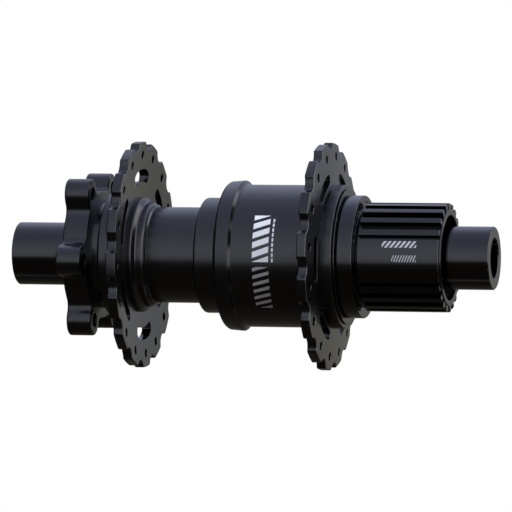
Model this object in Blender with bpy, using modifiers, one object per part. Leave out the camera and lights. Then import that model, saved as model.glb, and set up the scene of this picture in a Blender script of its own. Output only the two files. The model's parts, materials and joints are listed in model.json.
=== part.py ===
"""Rear bicycle hub: six-bolt disc shell, one-way sprag clutch, splined freehub, 12 mm thru axle.

World frame: metres, +Z up, the hub axis along Y with the rotor side at +Y and the sprockets at -Y.
The origin is on the axis, midway between the two dropout faces.

Every piece is drawn in the axle's own frame, in millimetres: stations are distances along the axle
from its middle, positive towards the rotor side, and angles turn about the axle from straight up,
positive towards +X. Empties on the axis carry that frame into the world.
"""
import math

import bmesh
import bpy
from mathutils import Matrix

MM = 0.001
SEGMENTS = 32                    # round an outside piece
CORE_SEGMENTS = 20               # round an internal piece
LOOSE = 0.2                      # radial gap between a piece and its seat
END_GAP = 0.3                    # axial gap between neighbours
SMOOTH_ANGLE = math.radians(35)

# Overall
DROPOUT_WIDTH = 148.0
THRU_BORE_R = 6.0
CAP_R = 9.5
CAP_EDGE = 0.35

# Rotor mount
ROTOR_FACE = 55.2
ROTOR_MOUNT_BACK = 47.5
ROTOR_BOLTS = 6
ROTOR_BOLT_PITCH = 360.0 / ROTOR_BOLTS
ROTOR_BOLT_CIRCLE_R = 22.0
ROTOR_BOLT_R = 2.1
ROTOR_LOBE_R = 4.7
ROTOR_VALLEY_R = 19.5
ROTOR_FILLET_R = 3.0             # between a lobe and the valley beside it
ROTOR_FIRST_LOBE = -35.3         # degrees

# Spoke flanges
FLANGE_R = 34.3
SPOKES_PER_FLANGE = 16
SPOKE_PITCH = 360.0 / SPOKES_PER_FLANGE
SPOKE_CIRCLE_R = 30.25
SPOKE_HOLE_R = 1.3
SCALLOP_DEPTH = 2.0
SCALLOP_R = 3.4                  # radius of the cutter that makes the notches
LOBE_CORNER_R = 0.9
WINDOWS = 6
WINDOW_PITCH = 360.0 / WINDOWS
LEFT_FLANGE = (34.65, 37.65)
RIGHT_FLANGE = (-24.3, -21.4)
LEFT_FIRST_HOLE = -5.8           # degrees
RIGHT_FIRST_HOLE = 5.3
LEFT_FIRST_WINDOW = -5.8
RIGHT_FIRST_WINDOW = 27.8
LEFT_WINDOW = (21.4, 26.0, 18.5, 0.9)    # inner radius, outer radius, half angle, inner bulge
RIGHT_WINDOW = (22.5, 26.1, 16.5, 0.0)

# Shell body
COLLAR_R = 19.3
NECK_R = 16.4
BEAD_R = 17.4
LOW_BEAD_R = 15.6
TUBE_R = 14.5
BEARING_RING_R = 17.45
CLUTCH_RING_R = 22.75
BARREL_R = 21.5
BOSS_R = 21.7
BOSS_END = -28.7
EDGE = 0.3                       # chamfer on a turned edge
SNAP_GROOVE = (19.8, -18.0, -16.4)       # radius, lower station, upper station
CLUTCH_BORE_R = 19.2
TUBE_BORE_R = 12.2

# Bearings: bore, outside radius, lower station, upper station
LEFT_BEARING = (7.5, 14.0, 46.0, 53.0)
CENTER_BEARING = (8.5, 15.0, 7.0, 14.0)
INNER_DRIVER_BEARING = (7.5, 12.0, -1.2, 3.8)
OUTER_DRIVER_BEARING = (7.5, 12.0, -54.3, -49.3)
BALLS = 10
BALL_TO_SECTION = 0.29           # ball radius over the bearing's section height
LAND_TO_SECTION = 0.18           # race land's distance from the ball circle, same measure
CAGE_TO_LAND = 0.45              # half the cage's wall over the race land's distance
CAGE_TO_BALL = 0.6               # half the cage's width over the ball radius
BALL_PLAY = 0.22

# Freehub
SPLINES = 23
SPLINE_PITCH = 360.0 / SPLINES
SPLINE_TIP_R = 16.4
SPLINE_ROOT_R = 14.5
SPLINE_HALF_ANGLE = 3.4
SPLINE_SKIRT = 0.6               # degrees that a tooth's foot reaches past its tip
WIDE_LAND_REACH = 7.7            # degrees that the wide land reaches past its outer teeth
WIDE_LAND_ANGLE = -94.3          # degrees, middle of the land that takes the place of three teeth
WIDE_LAND_TEETH = 3
SPLINE_START = -35.3
SPLINE_END = -60.2
FREEHUB_END = -60.5
FREEHUB_FLANGE_R = 18.5
STOP_FACE = -34.2
STOP_RELIEF_R = 16.7             # the sprocket stop face is relieved inside this radius
FREEHUB_BACK = -29.6
FREEHUB_MOUTH_R = 12.8
FREEHUB_MOUTH_FLOOR = -54.8
FREEHUB_WAIST_R = 11.6

# One-way clutch
SLEEVE_R = 13.6
SLEEVE_BORE_R = 10.6
SLEEVE_SHANK_R = 12.8
SLEEVE_SHANK_END = -36.0
SLEEVE_HEAD_END = 5.0
CLUTCH_RACE_R = 17.2
SPRAGS = 14
SPRAG_PITCH = 360.0 / SPRAGS
SPRAG_LENGTH = 14.0
SPRAG_MIDDLE = -5.5
SPRAG_END_R = 0.95               # radius of a sprag's two round ends
SPRAG_TILT = 0.25                # sideways offset of each round end from the sprag's middle
SPRAG_INNER_CENTER_R = 14.8
SPRAG_OUTER_CENTER_R = 15.9
SPRAG_CAGE = (15.1, 15.9)        # inner and outer radius
SPRAG_SLOT_WIDTH = 3.6
RETAINING_RING = (17.4, 19.5, -17.8, -16.6)
RETAINING_RING_GAP = 7.0
COVER_R = 20.4
COVER_BORE_R = 16.8
COVER_END = -29.3
COVER_LIP = 0.4
COVER_INNER_END = -25.0

# Axle
AXLE_END_R = LEFT_BEARING[0] - LOOSE
AXLE_STEP_R = CENTER_BEARING[0] - LOOSE
AXLE_BODY_R = 9.3
AXLE_BORE_R = 6.3
AXLE_LEFT_END = 62.0
AXLE_RIGHT_END = -64.0

# End caps: shoulder, foot, O-ring groove and axle pocket, as distances from the hub's middle
LEFT_CAP = (56.0, 53.3, 58.1, 62.3)
RIGHT_CAP = (60.9, 54.6, 62.2, 64.3)
CAP_GROOVE_DEPTH = 1.0
CAP_GROOVE_HALF_WIDTH = 0.7
O_RING_R = 7.9
O_RING_SECTION_R = 0.3


def start_empty():
    for obj in list(bpy.data.objects):
        bpy.data.objects.remove(obj, do_unlink=True)


def make_collection(name):
    collection = bpy.data.collections.new(name)
    bpy.context.scene.collection.children.link(collection)
    return collection


start_empty()
PARTS = make_collection("bicycle_hub")
TOOLS = make_collection("cutters")


def make_material(name, color, roughness, metallic):
    material = bpy.data.materials.new(name)
    material.use_nodes = True
    shader = material.node_tree.nodes["Principled BSDF"]
    shader.inputs["Base Color"].default_value = (*color, 1.0)
    shader.inputs["Roughness"].default_value = roughness
    shader.inputs["Metallic"].default_value = metallic
    material.diffuse_color = (*color, 1.0)
    return material


def make_axis(name):
    """An empty on the hub axis whose own Z points along the axle, towards the rotor side."""
    axis = bpy.data.objects.new(name, None)
    axis.rotation_euler = (-math.pi / 2, 0.0, 0.0)
    PARTS.objects.link(axis)
    return axis


def polar(radius, angle):
    """A point in the axle frame at an angle in degrees from straight up, positive towards +X."""
    turn = math.radians(angle)
    return radius * math.sin(turn), -radius * math.cos(turn)


def add_object(name, data, axis=None, collection=PARTS):
    obj = bpy.data.objects.new(name, data)
    collection.objects.link(obj)
    obj.parent = axis
    return obj


def realize(obj):
    """Swap an object's modifiers for the mesh they make."""
    bpy.context.view_layer.update()
    evaluated = obj.evaluated_get(bpy.context.evaluated_depsgraph_get())
    mesh = bpy.data.meshes.new_from_object(evaluated)
    obj.modifiers.clear()
    obj.data = mesh


def finish(obj, material, sharp_angle=SMOOTH_ANGLE):
    obj.data.name = obj.name
    obj.data.materials.clear()
    obj.data.materials.append(material)
    obj.data.shade_smooth()
    obj.data.set_sharp_from_angle(angle=sharp_angle)
    return obj


def turn(name, profile, axis=None, segments=SEGMENTS):
    """A body of revolution from a closed profile of (radius, station) points.

    The profile runs down the outer side from the rotor end, then back up the inner side.
    """
    mesh = bpy.data.meshes.new(name)
    points = [(radius * MM, 0.0, station * MM) for radius, station in profile]
    edges = [(i, (i + 1) % len(points)) for i in range(len(points))]
    mesh.from_pydata(points, edges, [])
    obj = add_object(name, mesh, axis)
    screw = obj.modifiers.new("turn", "SCREW")
    screw.axis = "Z"
    screw.angle = math.tau
    screw.steps = segments
    screw.render_steps = segments
    screw.use_merge_vertices = True
    screw.merge_threshold = 0.00001
    realize(obj)
    return obj


def ring(name, inner, outer, low, high):
    """A plain ring between two radii and two stations."""
    return turn(name, [(outer, high), (outer, low), (inner, low), (inner, high)],
                segments=CORE_SEGMENTS)


def plate(name, outlines, low, high, axis=None):
    """A flat plate between two stations, from its outline and the outlines of its holes."""
    curve = bpy.data.curves.new(name, "CURVE")
    curve.dimensions = "2D"
    curve.fill_mode = "BOTH"
    curve.extrude = (high - low) / 2 * MM
    for outline in outlines:
        spline = curve.splines.new("POLY")
        spline.points.add(len(outline) - 1)
        for point, (x, y) in zip(spline.points, outline):
            point.co = (x * MM, y * MM, 0.0, 1.0)
        spline.use_cyclic_u = True
    drawn = add_object(name + "_outline", curve, axis)
    drawn.location.z = (low + high) / 2 * MM
    bpy.context.view_layer.update()
    evaluated = drawn.evaluated_get(bpy.context.evaluated_depsgraph_get())
    mesh = bpy.data.meshes.new_from_object(evaluated)
    weld(mesh)
    obj = add_object(name, mesh, axis)
    obj.matrix_world = drawn.matrix_world
    bpy.data.objects.remove(drawn, do_unlink=True)
    return obj


def apply_place(obj):
    """Move an object's own placement into its mesh, so that its origin is on the axis."""
    obj.data.transform(obj.matrix_basis)
    obj.matrix_basis = Matrix.Identity(4)


def weld(mesh):
    edit = bmesh.new()
    edit.from_mesh(mesh)
    bmesh.ops.remove_doubles(edit, verts=edit.verts, dist=0.000001)
    bmesh.ops.recalc_face_normals(edit, faces=edit.faces)
    edit.to_mesh(mesh)
    edit.free()


def combine(obj, tool, operation):
    """Join a tool to an object, or cut it away, and remove the tool."""
    boolean = obj.modifiers.new("combine", "BOOLEAN")
    boolean.operation = operation
    boolean.solver = "EXACT"
    boolean.object = tool
    realize(obj)
    bpy.data.objects.remove(tool, do_unlink=True)


def move_to_tools(obj):
    for collection in list(obj.users_collection):
        collection.objects.unlink(obj)
    TOOLS.objects.link(obj)
    obj.hide_render = True
    obj.display_type = "WIRE"
    return obj


def circle(radius, count, center=(0.0, 0.0)):
    return [(center[0] + radius * math.cos(math.tau * i / count),
             center[1] + radius * math.sin(math.tau * i / count)) for i in range(count)]


def direction(start, end):
    """The way from one point to another, in degrees from straight up."""
    return math.degrees(math.atan2(end[0] - start[0], start[1] - end[1]))


def arc(center, radius, start, end, steps):
    """Points round a center from one direction to another, by the shorter way."""
    sweep = (end - start + 180.0) % 360.0 - 180.0
    points = []
    for step in range(steps + 1):
        dx, dy = polar(radius, start + sweep * step / steps)
        points.append((center[0] + dx, center[1] + dy))
    return points


def angle_between(side_a, side_b, opposite):
    """The angle in degrees between two sides of a triangle, from all three lengths."""
    return math.degrees(math.acos((side_a ** 2 + side_b ** 2 - opposite ** 2) / (2 * side_a * side_b)))


def scalloped_edge(first_hole):
    """The flange's outline: one lobe at each spoke hole, and a notch milled between each two."""
    outline = []
    cutter_r = FLANGE_R - SCALLOP_DEPTH + SCALLOP_R
    corner_r = FLANGE_R - LOBE_CORNER_R
    offset = angle_between(cutter_r, corner_r, SCALLOP_R + LOBE_CORNER_R)
    for hole in range(SPOKES_PER_FLANGE):
        middle = first_hole + hole * SPOKE_PITCH
        notch = middle + SPOKE_PITCH / 2
        before = polar(corner_r, middle - SPOKE_PITCH / 2 + offset)
        after = polar(corner_r, notch - offset)
        cutter_before = polar(cutter_r, middle - SPOKE_PITCH / 2)
        cutter = polar(cutter_r, notch)
        outline += arc(before, LOBE_CORNER_R, direction(before, cutter_before),
                       direction((0.0, 0.0), before), 1)
        outline.append(polar(FLANGE_R, middle))
        outline += arc(after, LOBE_CORNER_R, direction((0.0, 0.0), after),
                       direction(after, cutter), 1)
        next_corner = polar(corner_r, notch + offset)
        outline += arc(cutter, SCALLOP_R, direction(cutter, after),
                       direction(cutter, next_corner), 4)[1:-1]
    return outline


def window(angle, low_r, high_r, half_angle, bulge):
    """A rounded window that follows the flange, its inner edge pushed outward at the middle."""
    outline = []
    count = 12
    squareness = 0.6
    middle_r = (low_r + high_r) / 2
    half_height = (high_r - low_r) / 2
    for i in range(count):
        turn_angle = math.tau * i / count
        across = math.copysign(abs(math.cos(turn_angle)) ** squareness, math.cos(turn_angle))
        up = math.copysign(abs(math.sin(turn_angle)) ** squareness, math.sin(turn_angle))
        radius = middle_r + half_height * up
        if up < 0.0:
            radius += bulge * (1.0 - across * across) * -up
        outline.append(polar(radius, angle + half_angle * across))
    return outline


def flange(name, stations, inner_r, first_hole, windows):
    outlines = [scalloped_edge(first_hole), circle(inner_r, SEGMENTS)]
    for hole in range(SPOKES_PER_FLANGE):
        center = polar(SPOKE_CIRCLE_R, first_hole + hole * SPOKE_PITCH)
        outlines.append(circle(SPOKE_HOLE_R, 8, center))
    return plate(name, outlines + windows, *stations)


def rotor_mount_outline():
    """Six round lobes, each joined by hollow fillets to the round valleys beside it."""
    outline = []
    fillet_center_r = ROTOR_VALLEY_R + ROTOR_FILLET_R
    offset = angle_between(fillet_center_r, ROTOR_BOLT_CIRCLE_R, ROTOR_LOBE_R + ROTOR_FILLET_R)
    for lobe in range(ROTOR_BOLTS):
        middle = ROTOR_FIRST_LOBE + lobe * ROTOR_BOLT_PITCH
        center = polar(ROTOR_BOLT_CIRCLE_R, middle)
        before = polar(fillet_center_r, middle - offset)
        after = polar(fillet_center_r, middle + offset)
        outline += arc(before, ROTOR_FILLET_R, direction(before, (0.0, 0.0)),
                       direction(before, center), 3)[:-1]
        outline += arc(center, ROTOR_LOBE_R, direction(center, before), middle, 4)[:-1]
        outline += arc(center, ROTOR_LOBE_R, middle, direction(center, after), 4)[:-1]
        outline += arc(after, ROTOR_FILLET_R, direction(after, center),
                       direction(after, (0.0, 0.0)), 3)
    return outline


def shell_profile():
    """The shell's section: collar, two beads, tube, bearing ring, clutch ring, barrel and boss."""
    rotor_end = ROTOR_FACE - 0.4
    center_seat_r = CENTER_BEARING[1] + LOOSE
    left_seat_r = LEFT_BEARING[1] + LOOSE
    groove_r, groove_low, groove_high = SNAP_GROOVE
    outer = [(NECK_R, rotor_end), (NECK_R, 45.0), (NECK_R + 0.6, 44.4), (COLLAR_R, 44.0),
             (COLLAR_R, 36.5), (BEAD_R, 35.4), (BEAD_R, 34.3), (NECK_R - EDGE, 33.3),
             (NECK_R - 0.5, 31.7), (LOW_BEAD_R, 31.4), (LOW_BEAD_R, 30.3), (TUBE_R, 29.9),
             (TUBE_R, 15.0), (BEARING_RING_R - EDGE, 15.0), (BEARING_RING_R, 14.7),
             (BEARING_RING_R, 7.6), (CLUTCH_RING_R - 0.9, 7.6), (CLUTCH_RING_R - 0.4, 7.1),
             (CLUTCH_RING_R, 2.9), (BARREL_R, 1.7), (BARREL_R, -22.4), (BOSS_R, -23.0),
             (BOSS_R, BOSS_END + EDGE), (BOSS_R - EDGE, BOSS_END)]
    inner = [(CLUTCH_BORE_R, BOSS_END), (CLUTCH_BORE_R, groove_low), (groove_r, groove_low),
             (groove_r, groove_high), (CLUTCH_BORE_R, groove_high), (CLUTCH_BORE_R, 6.4),
             (center_seat_r, 6.4), (center_seat_r, CENTER_BEARING[3] + END_GAP),
             (TUBE_BORE_R, CENTER_BEARING[3] + END_GAP), (TUBE_BORE_R, LEFT_BEARING[2] - END_GAP),
             (left_seat_r, LEFT_BEARING[2] - END_GAP), (left_seat_r, rotor_end)]
    return outer + inner


def make_hub_shell(axis, material):
    """The one-piece aluminium shell: turned body, two drilled flanges and the rotor mount."""
    shell = turn("hub_shell", shell_profile())
    left_windows = [window(LEFT_FIRST_WINDOW + i * WINDOW_PITCH, *LEFT_WINDOW) for i in range(WINDOWS)]
    right_windows = [window(RIGHT_FIRST_WINDOW + i * WINDOW_PITCH, *RIGHT_WINDOW)
                     for i in range(WINDOWS)]
    left = flange("left_flange", LEFT_FLANGE, TUBE_R + EDGE, LEFT_FIRST_HOLE, left_windows)
    right = flange("right_flange", RIGHT_FLANGE, BARREL_R - 1.0, RIGHT_FIRST_HOLE, right_windows)
    combine(shell, left, "UNION")
    combine(shell, right, "UNION")
    outlines = [rotor_mount_outline(), circle(LEFT_BEARING[1] + 0.7, SEGMENTS)]
    for i in range(ROTOR_BOLTS):
        center = polar(ROTOR_BOLT_CIRCLE_R, ROTOR_FIRST_LOBE + i * ROTOR_BOLT_PITCH)
        outlines.append(circle(ROTOR_BOLT_R, 10, center))
    combine(shell, plate("rotor_mount", outlines, ROTOR_MOUNT_BACK, ROTOR_FACE), "UNION")
    shell.parent = axis
    finish(shell, material)


def spline_outline():
    """Straight teeth all round, with one smooth land in the place of three of them."""
    outline = []
    root = SPLINE_ROOT_R - EDGE
    half = SPLINE_HALF_ANGLE
    side = (WIDE_LAND_TEETH - 1) / 2
    land_half = side * SPLINE_PITCH + WIDE_LAND_REACH
    land_steps = 8
    outline.append(polar(root, WIDE_LAND_ANGLE - land_half - SPLINE_SKIRT))
    for step in range(land_steps + 1):
        spread = land_half * (2 * step / land_steps - 1)
        outline.append(polar(SPLINE_TIP_R, WIDE_LAND_ANGLE + spread))
    outline.append(polar(root, WIDE_LAND_ANGLE + land_half + SPLINE_SKIRT))
    for tooth in range(SPLINES - WIDE_LAND_TEETH):
        middle = WIDE_LAND_ANGLE + (side + 1 + tooth) * SPLINE_PITCH
        outline.append(polar(root, middle - half - SPLINE_SKIRT))
        outline.append(polar(SPLINE_TIP_R, middle - half))
        outline.append(polar(SPLINE_TIP_R, middle + half))
        outline.append(polar(root, middle + half + SPLINE_SKIRT))
    return outline


def make_freehub_body(axis, material):
    """The splined sprocket carrier, with its outer bearing's seat and the sleeve's seat inside."""
    seat_r = OUTER_DRIVER_BEARING[1] + LOOSE
    seat_floor = OUTER_DRIVER_BEARING[3] + END_GAP
    sleeve_seat_r = SLEEVE_SHANK_R + LOOSE
    sleeve_floor = SLEEVE_SHANK_END - END_GAP
    outer = [(FREEHUB_FLANGE_R - EDGE, FREEHUB_BACK), (FREEHUB_FLANGE_R, FREEHUB_BACK - EDGE),
             (FREEHUB_FLANGE_R, STOP_FACE + EDGE), (FREEHUB_FLANGE_R - EDGE, STOP_FACE),
             (STOP_RELIEF_R, STOP_FACE), (STOP_RELIEF_R, STOP_FACE + EDGE),
             (SPLINE_ROOT_R, STOP_FACE + EDGE), (SPLINE_ROOT_R, FREEHUB_END + EDGE),
             (SPLINE_ROOT_R - EDGE, FREEHUB_END)]
    inner = [(FREEHUB_MOUTH_R, FREEHUB_END), (FREEHUB_MOUTH_R, FREEHUB_MOUTH_FLOOR),
             (seat_r, FREEHUB_MOUTH_FLOOR), (seat_r, seat_floor), (FREEHUB_WAIST_R, seat_floor),
             (FREEHUB_WAIST_R, sleeve_floor), (sleeve_seat_r, sleeve_floor),
             (sleeve_seat_r, FREEHUB_BACK)]
    body = turn("freehub_body", outer + inner)
    teeth = plate("teeth", [spline_outline(), circle(SPLINE_ROOT_R - 0.8, SEGMENTS)],
                  SPLINE_END, SPLINE_START)
    combine(body, teeth, "UNION")
    body.parent = axis
    finish(body, material)


def make_axle(axis, material):
    outer = [(AXLE_END_R - EDGE, AXLE_LEFT_END), (AXLE_END_R, AXLE_LEFT_END - EDGE),
             (AXLE_END_R, LEFT_BEARING[2] - END_GAP), (AXLE_BODY_R, LEFT_BEARING[2] - END_GAP),
             (AXLE_BODY_R, CENTER_BEARING[3] + END_GAP), (AXLE_STEP_R, CENTER_BEARING[3] + END_GAP),
             (AXLE_STEP_R, 6.6), (AXLE_END_R, 6.6), (AXLE_END_R, AXLE_RIGHT_END + EDGE),
             (AXLE_END_R - EDGE, AXLE_RIGHT_END)]
    inner = [(AXLE_BORE_R, AXLE_RIGHT_END), (AXLE_BORE_R, AXLE_LEFT_END)]
    finish(turn("axle", outer + inner, axis, CORE_SEGMENTS), material)


def cap_profile(shoulder, foot, groove, pocket):
    """An end cap's profile on the rotor side, from the dropout face down to its foot.

    The foot presses on a bearing, the shoulder is where the cap widens, the groove holds an
    O-ring, and the pocket takes the end of the axle.
    """
    face = DROPOUT_WIDTH / 2
    foot_r = CAP_R - 0.9
    slide_r = AXLE_END_R + LOOSE
    groove_r = slide_r + CAP_GROOVE_DEPTH
    groove_low = groove - CAP_GROOVE_HALF_WIDTH
    groove_high = groove + CAP_GROOVE_HALF_WIDTH
    outer = [(CAP_R - CAP_EDGE, face), (CAP_R, face - CAP_EDGE), (CAP_R, shoulder),
             (foot_r, shoulder), (foot_r, foot)]
    inner = [(slide_r, foot), (slide_r, groove_low), (groove_r, groove_low),
             (groove_r, groove_high), (slide_r, groove_high), (slide_r, pocket),
             (THRU_BORE_R, pocket), (THRU_BORE_R, face - EDGE), (THRU_BORE_R + EDGE, face)]
    return outer + inner


def mirrored(profile):
    """The same closed profile turned end for end, still running down its outer side."""
    return [(radius, -station) for radius, station in reversed(profile)]


def make_end_caps(axis, material, rubber):
    finish(turn("left_end_cap", cap_profile(*LEFT_CAP), axis), material)
    finish(turn("right_end_cap", mirrored(cap_profile(*RIGHT_CAP)), axis), material)
    for name, station in (("left_cap_o_ring", LEFT_CAP[2]), ("right_cap_o_ring", -RIGHT_CAP[2])):
        section = [(O_RING_R + across, station - along)
                   for across, along in circle(O_RING_SECTION_R, 6)]
        finish(turn(name, section, axis, CORE_SEGMENTS), rubber)


def make_bearing(name, size, inner_axis, outer_axis, ball_axis, steel, brass):
    """One ball bearing: two grooved races and a cage that carries its balls."""
    bore, outside, low, high = size
    section = outside - bore
    circle_r = (bore + outside) / 2
    middle = (low + high) / 2
    ball_r = BALL_TO_SECTION * section
    land = LAND_TO_SECTION * section
    reach = ball_r + BALL_PLAY
    swing = math.acos(land / reach)
    arc = [(math.cos(swing * part), math.sin(swing * part)) for part in (1.0, 0.33, -0.33, -1.0)]
    inner_r = circle_r - land
    outer_r = circle_r + land
    inner_groove = [(circle_r - reach * c, middle + reach * s) for c, s in arc]
    outer_groove = [(circle_r + reach * c, middle - reach * s) for c, s in arc]
    inner = [(inner_r, high), *inner_groove, (inner_r, low), (bore, low), (bore, high)]
    outer = [(outside, high), (outside, low), (outer_r, low), *outer_groove, (outer_r, high)]
    finish(turn(name + "_inner_race", inner, inner_axis, CORE_SEGMENTS), steel)
    finish(turn(name + "_outer_race", outer, outer_axis, CORE_SEGMENTS), steel)
    half_band = CAGE_TO_LAND * land
    half_width = CAGE_TO_BALL * ball_r
    cage = ring(name + "_ball_cage", circle_r - half_band, circle_r + half_band,
                middle - half_width, middle + half_width)
    combine(cage, make_balls(circle_r, middle, ball_r), "UNION")
    cage.parent = ball_axis
    finish(cage, brass)


def make_balls(circle_r, middle, ball_r):
    mesh = bpy.data.meshes.new("balls")
    edit = bmesh.new()
    for i in range(BALLS):
        x, y = polar(circle_r, i * 360.0 / BALLS)
        ball = bmesh.ops.create_uvsphere(edit, u_segments=6, v_segments=4, radius=ball_r * MM)
        bmesh.ops.translate(edit, verts=ball["verts"], vec=(x * MM, y * MM, middle * MM))
    edit.to_mesh(mesh)
    edit.free()
    return move_to_tools(add_object("balls", mesh))


def make_spacers(axis, material):
    slide_r = AXLE_END_R + LOOSE
    center = ring("center_spacer", slide_r, 9.2, INNER_DRIVER_BEARING[3] + END_GAP, 6.3)
    driver = ring("driver_spacer", slide_r, 8.7, OUTER_DRIVER_BEARING[3] + END_GAP,
                  INNER_DRIVER_BEARING[2] - END_GAP)
    for spacer in (center, driver):
        spacer.parent = axis
        finish(spacer, material)


def make_driver_sleeve(axis, material):
    """The clutch's hardened inner race, whose shank is fixed inside the freehub body."""
    seat_r = INNER_DRIVER_BEARING[1] + LOOSE
    seat_floor = INNER_DRIVER_BEARING[2] - END_GAP
    shank_start = -18.2
    outer = [(SLEEVE_R - EDGE, SLEEVE_HEAD_END), (SLEEVE_R, SLEEVE_HEAD_END - EDGE),
             (SLEEVE_R, shank_start + 0.8), (SLEEVE_SHANK_R, shank_start),
             (SLEEVE_SHANK_R, SLEEVE_SHANK_END)]
    inner = [(SLEEVE_BORE_R, SLEEVE_SHANK_END), (SLEEVE_BORE_R, seat_floor), (seat_r, seat_floor),
             (seat_r, SLEEVE_HEAD_END)]
    finish(turn("driver_sleeve", outer + inner, axis, CORE_SEGMENTS), material)


def make_clutch_outer_race(axis, material):
    race = ring("clutch_outer_race", CLUTCH_RACE_R, CLUTCH_BORE_R - LOOSE,
                SNAP_GROOVE[2] + END_GAP, 5.9)
    race.parent = axis
    finish(race, material)


def block_cutter(name, size, center, count=1):
    """Boxes repeated round the axis, for cutting; the first stands at its center."""
    mesh = bpy.data.meshes.new(name)
    edit = bmesh.new()
    for i in range(count):
        block = bmesh.ops.create_cube(edit, size=MM)["verts"]
        bmesh.ops.scale(edit, verts=block, vec=size)
        bmesh.ops.translate(edit, verts=block, vec=[part * MM for part in center])
        rotation = Matrix.Rotation(math.tau * i / count, 3, "Z")
        bmesh.ops.rotate(edit, verts=block, cent=(0.0, 0.0, 0.0), matrix=rotation)
    edit.to_mesh(mesh)
    edit.free()
    return move_to_tools(add_object(name, mesh))


def make_sprag_cage(axis, material):
    """A thin ring with one slot for each sprag."""
    inner, outer = SPRAG_CAGE
    half = SPRAG_LENGTH / 2
    cage = ring("sprag_cage", inner, outer, SPRAG_MIDDLE - half - 2.0, SPRAG_MIDDLE + half + 2.0)
    slots = block_cutter("slots", (SPRAG_SLOT_WIDTH, 4.0, SPRAG_LENGTH + 0.8),
                         (0.0, -(inner + outer) / 2, SPRAG_MIDDLE), SPRAGS)
    combine(cage, slots, "DIFFERENCE")
    cage.parent = axis
    finish(cage, material)


def sprag_outline():
    """A sprag's section: two offset round ends on a waist, standing between the two races."""
    outline = []
    ends = ((SPRAG_TILT, -SPRAG_OUTER_CENTER_R, 180.0), (-SPRAG_TILT, -SPRAG_INNER_CENTER_R, 0.0))
    steps = 5
    for center_x, center_y, start in ends:
        for step in range(steps + 1):
            turn_angle = math.radians(start + 180.0 * step / steps)
            outline.append((center_x + SPRAG_END_R * math.cos(turn_angle),
                            center_y + SPRAG_END_R * math.sin(turn_angle)))
    return outline


def make_sprags(axis, material):
    low = SPRAG_MIDDLE - SPRAG_LENGTH / 2
    first = plate("sprag_01", [sprag_outline()], low, low + SPRAG_LENGTH)
    apply_place(first)
    finish(first, material)
    first.parent = axis
    for i in range(1, SPRAGS):
        sprag = add_object(f"sprag_{i + 1:02d}", first.data, axis)
        sprag.rotation_euler.z = math.radians(i * SPRAG_PITCH)


def make_clutch_retaining_ring(axis, material):
    """A snap ring with a gap, sprung into the groove beside the clutch."""
    inner, outer, low, high = RETAINING_RING
    snap = ring("clutch_retaining_ring", inner, outer, low, high)
    middle = (0.0, (inner + outer) / 2, (low + high) / 2)
    combine(snap, block_cutter("gap", (RETAINING_RING_GAP, 6.0, 4.0), middle), "DIFFERENCE")
    snap.parent = axis
    finish(snap, material)


def make_clutch_cover(axis, material, rubber):
    """A shallow cap pressed into the shell's drive end, with a seal against the sleeve's shank."""
    spigot_r = CLUTCH_BORE_R - LOOSE
    lip = COVER_END + COVER_LIP
    outer = [(spigot_r, COVER_INNER_END), (spigot_r, lip), (COVER_R, lip),
             (COVER_R, COVER_END + 0.1), (COVER_R - 0.1, COVER_END)]
    inner = [(COVER_BORE_R, COVER_END), (COVER_BORE_R, COVER_INNER_END)]
    finish(turn("clutch_cover", outer + inner, axis), material)
    seal = ring("clutch_seal", SLEEVE_SHANK_R + END_GAP, COVER_BORE_R - END_GAP,
                COVER_END + END_GAP, COVER_INNER_END - END_GAP)
    seal.parent = axis
    finish(seal, rubber)


def make_seals(shell_axis, freehub_axis, rubber):
    """Thin rubber rings in front of the two outer bearings."""
    seal_bore_r = CAP_R - 0.6
    left = ring("left_seal", seal_bore_r, LEFT_BEARING[1] - 0.1, LEFT_BEARING[3] + END_GAP, 54.6)
    outer = ring("freehub_seal", seal_bore_r, FREEHUB_MOUTH_R - END_GAP, -56.6,
                 FREEHUB_MOUTH_FLOOR - END_GAP)
    for seal, axis in ((left, shell_axis), (outer, freehub_axis)):
        seal.parent = axis
        finish(seal, rubber)


def make_hub():
    black = make_material("black_anodised_aluminium", (0.012, 0.012, 0.015), 0.32, 0.9)
    steel = make_material("bearing_steel", (0.55, 0.56, 0.58), 0.25, 1.0)
    bronze = make_material("cage_bronze", (0.45, 0.30, 0.14), 0.4, 1.0)
    rubber = make_material("seal_rubber", (0.01, 0.01, 0.011), 0.7, 0.0)
    axle_axis = make_axis("axle_axis")
    shell_axis = make_axis("shell_axis")
    freehub_axis = make_axis("freehub_axis")
    make_hub_shell(shell_axis, black)
    make_freehub_body(freehub_axis, black)
    make_axle(axle_axis, black)
    make_end_caps(axle_axis, black, rubber)
    make_spacers(axle_axis, black)
    bearings = (("left_bearing", LEFT_BEARING, shell_axis),
                ("center_bearing", CENTER_BEARING, shell_axis),
                ("inner_driver_bearing", INNER_DRIVER_BEARING, freehub_axis),
                ("outer_driver_bearing", OUTER_DRIVER_BEARING, freehub_axis))
    for name, size, outer_axis in bearings:
        ball_axis = make_axis(name + "_axis")
        make_bearing(name, size, axle_axis, outer_axis, ball_axis, steel, bronze)
    make_clutch_outer_race(shell_axis, steel)
    make_sprag_cage(shell_axis, bronze)
    make_sprags(shell_axis, steel)
    make_clutch_retaining_ring(shell_axis, steel)
    make_clutch_cover(shell_axis, black, rubber)
    make_driver_sleeve(freehub_axis, steel)
    make_seals(shell_axis, freehub_axis, rubber)


make_hub()
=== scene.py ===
"""The looks of a rear bicycle hub: black anodised shell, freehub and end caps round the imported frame.

World frame: metres, +Z up, the hub axis along Y with the rotor side at +Y.  The shapes below are
drawn in millimetres: a station is a distance along the axle, positive towards the rotor side, and
an angle turns about the axle from straight up, positive towards +X, in degrees.
"""
import json
import math

import bmesh
import bpy
from mathutils import Matrix, Quaternion, Vector
from mathutils.geometry import delaunay_2d_cdt


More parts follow.
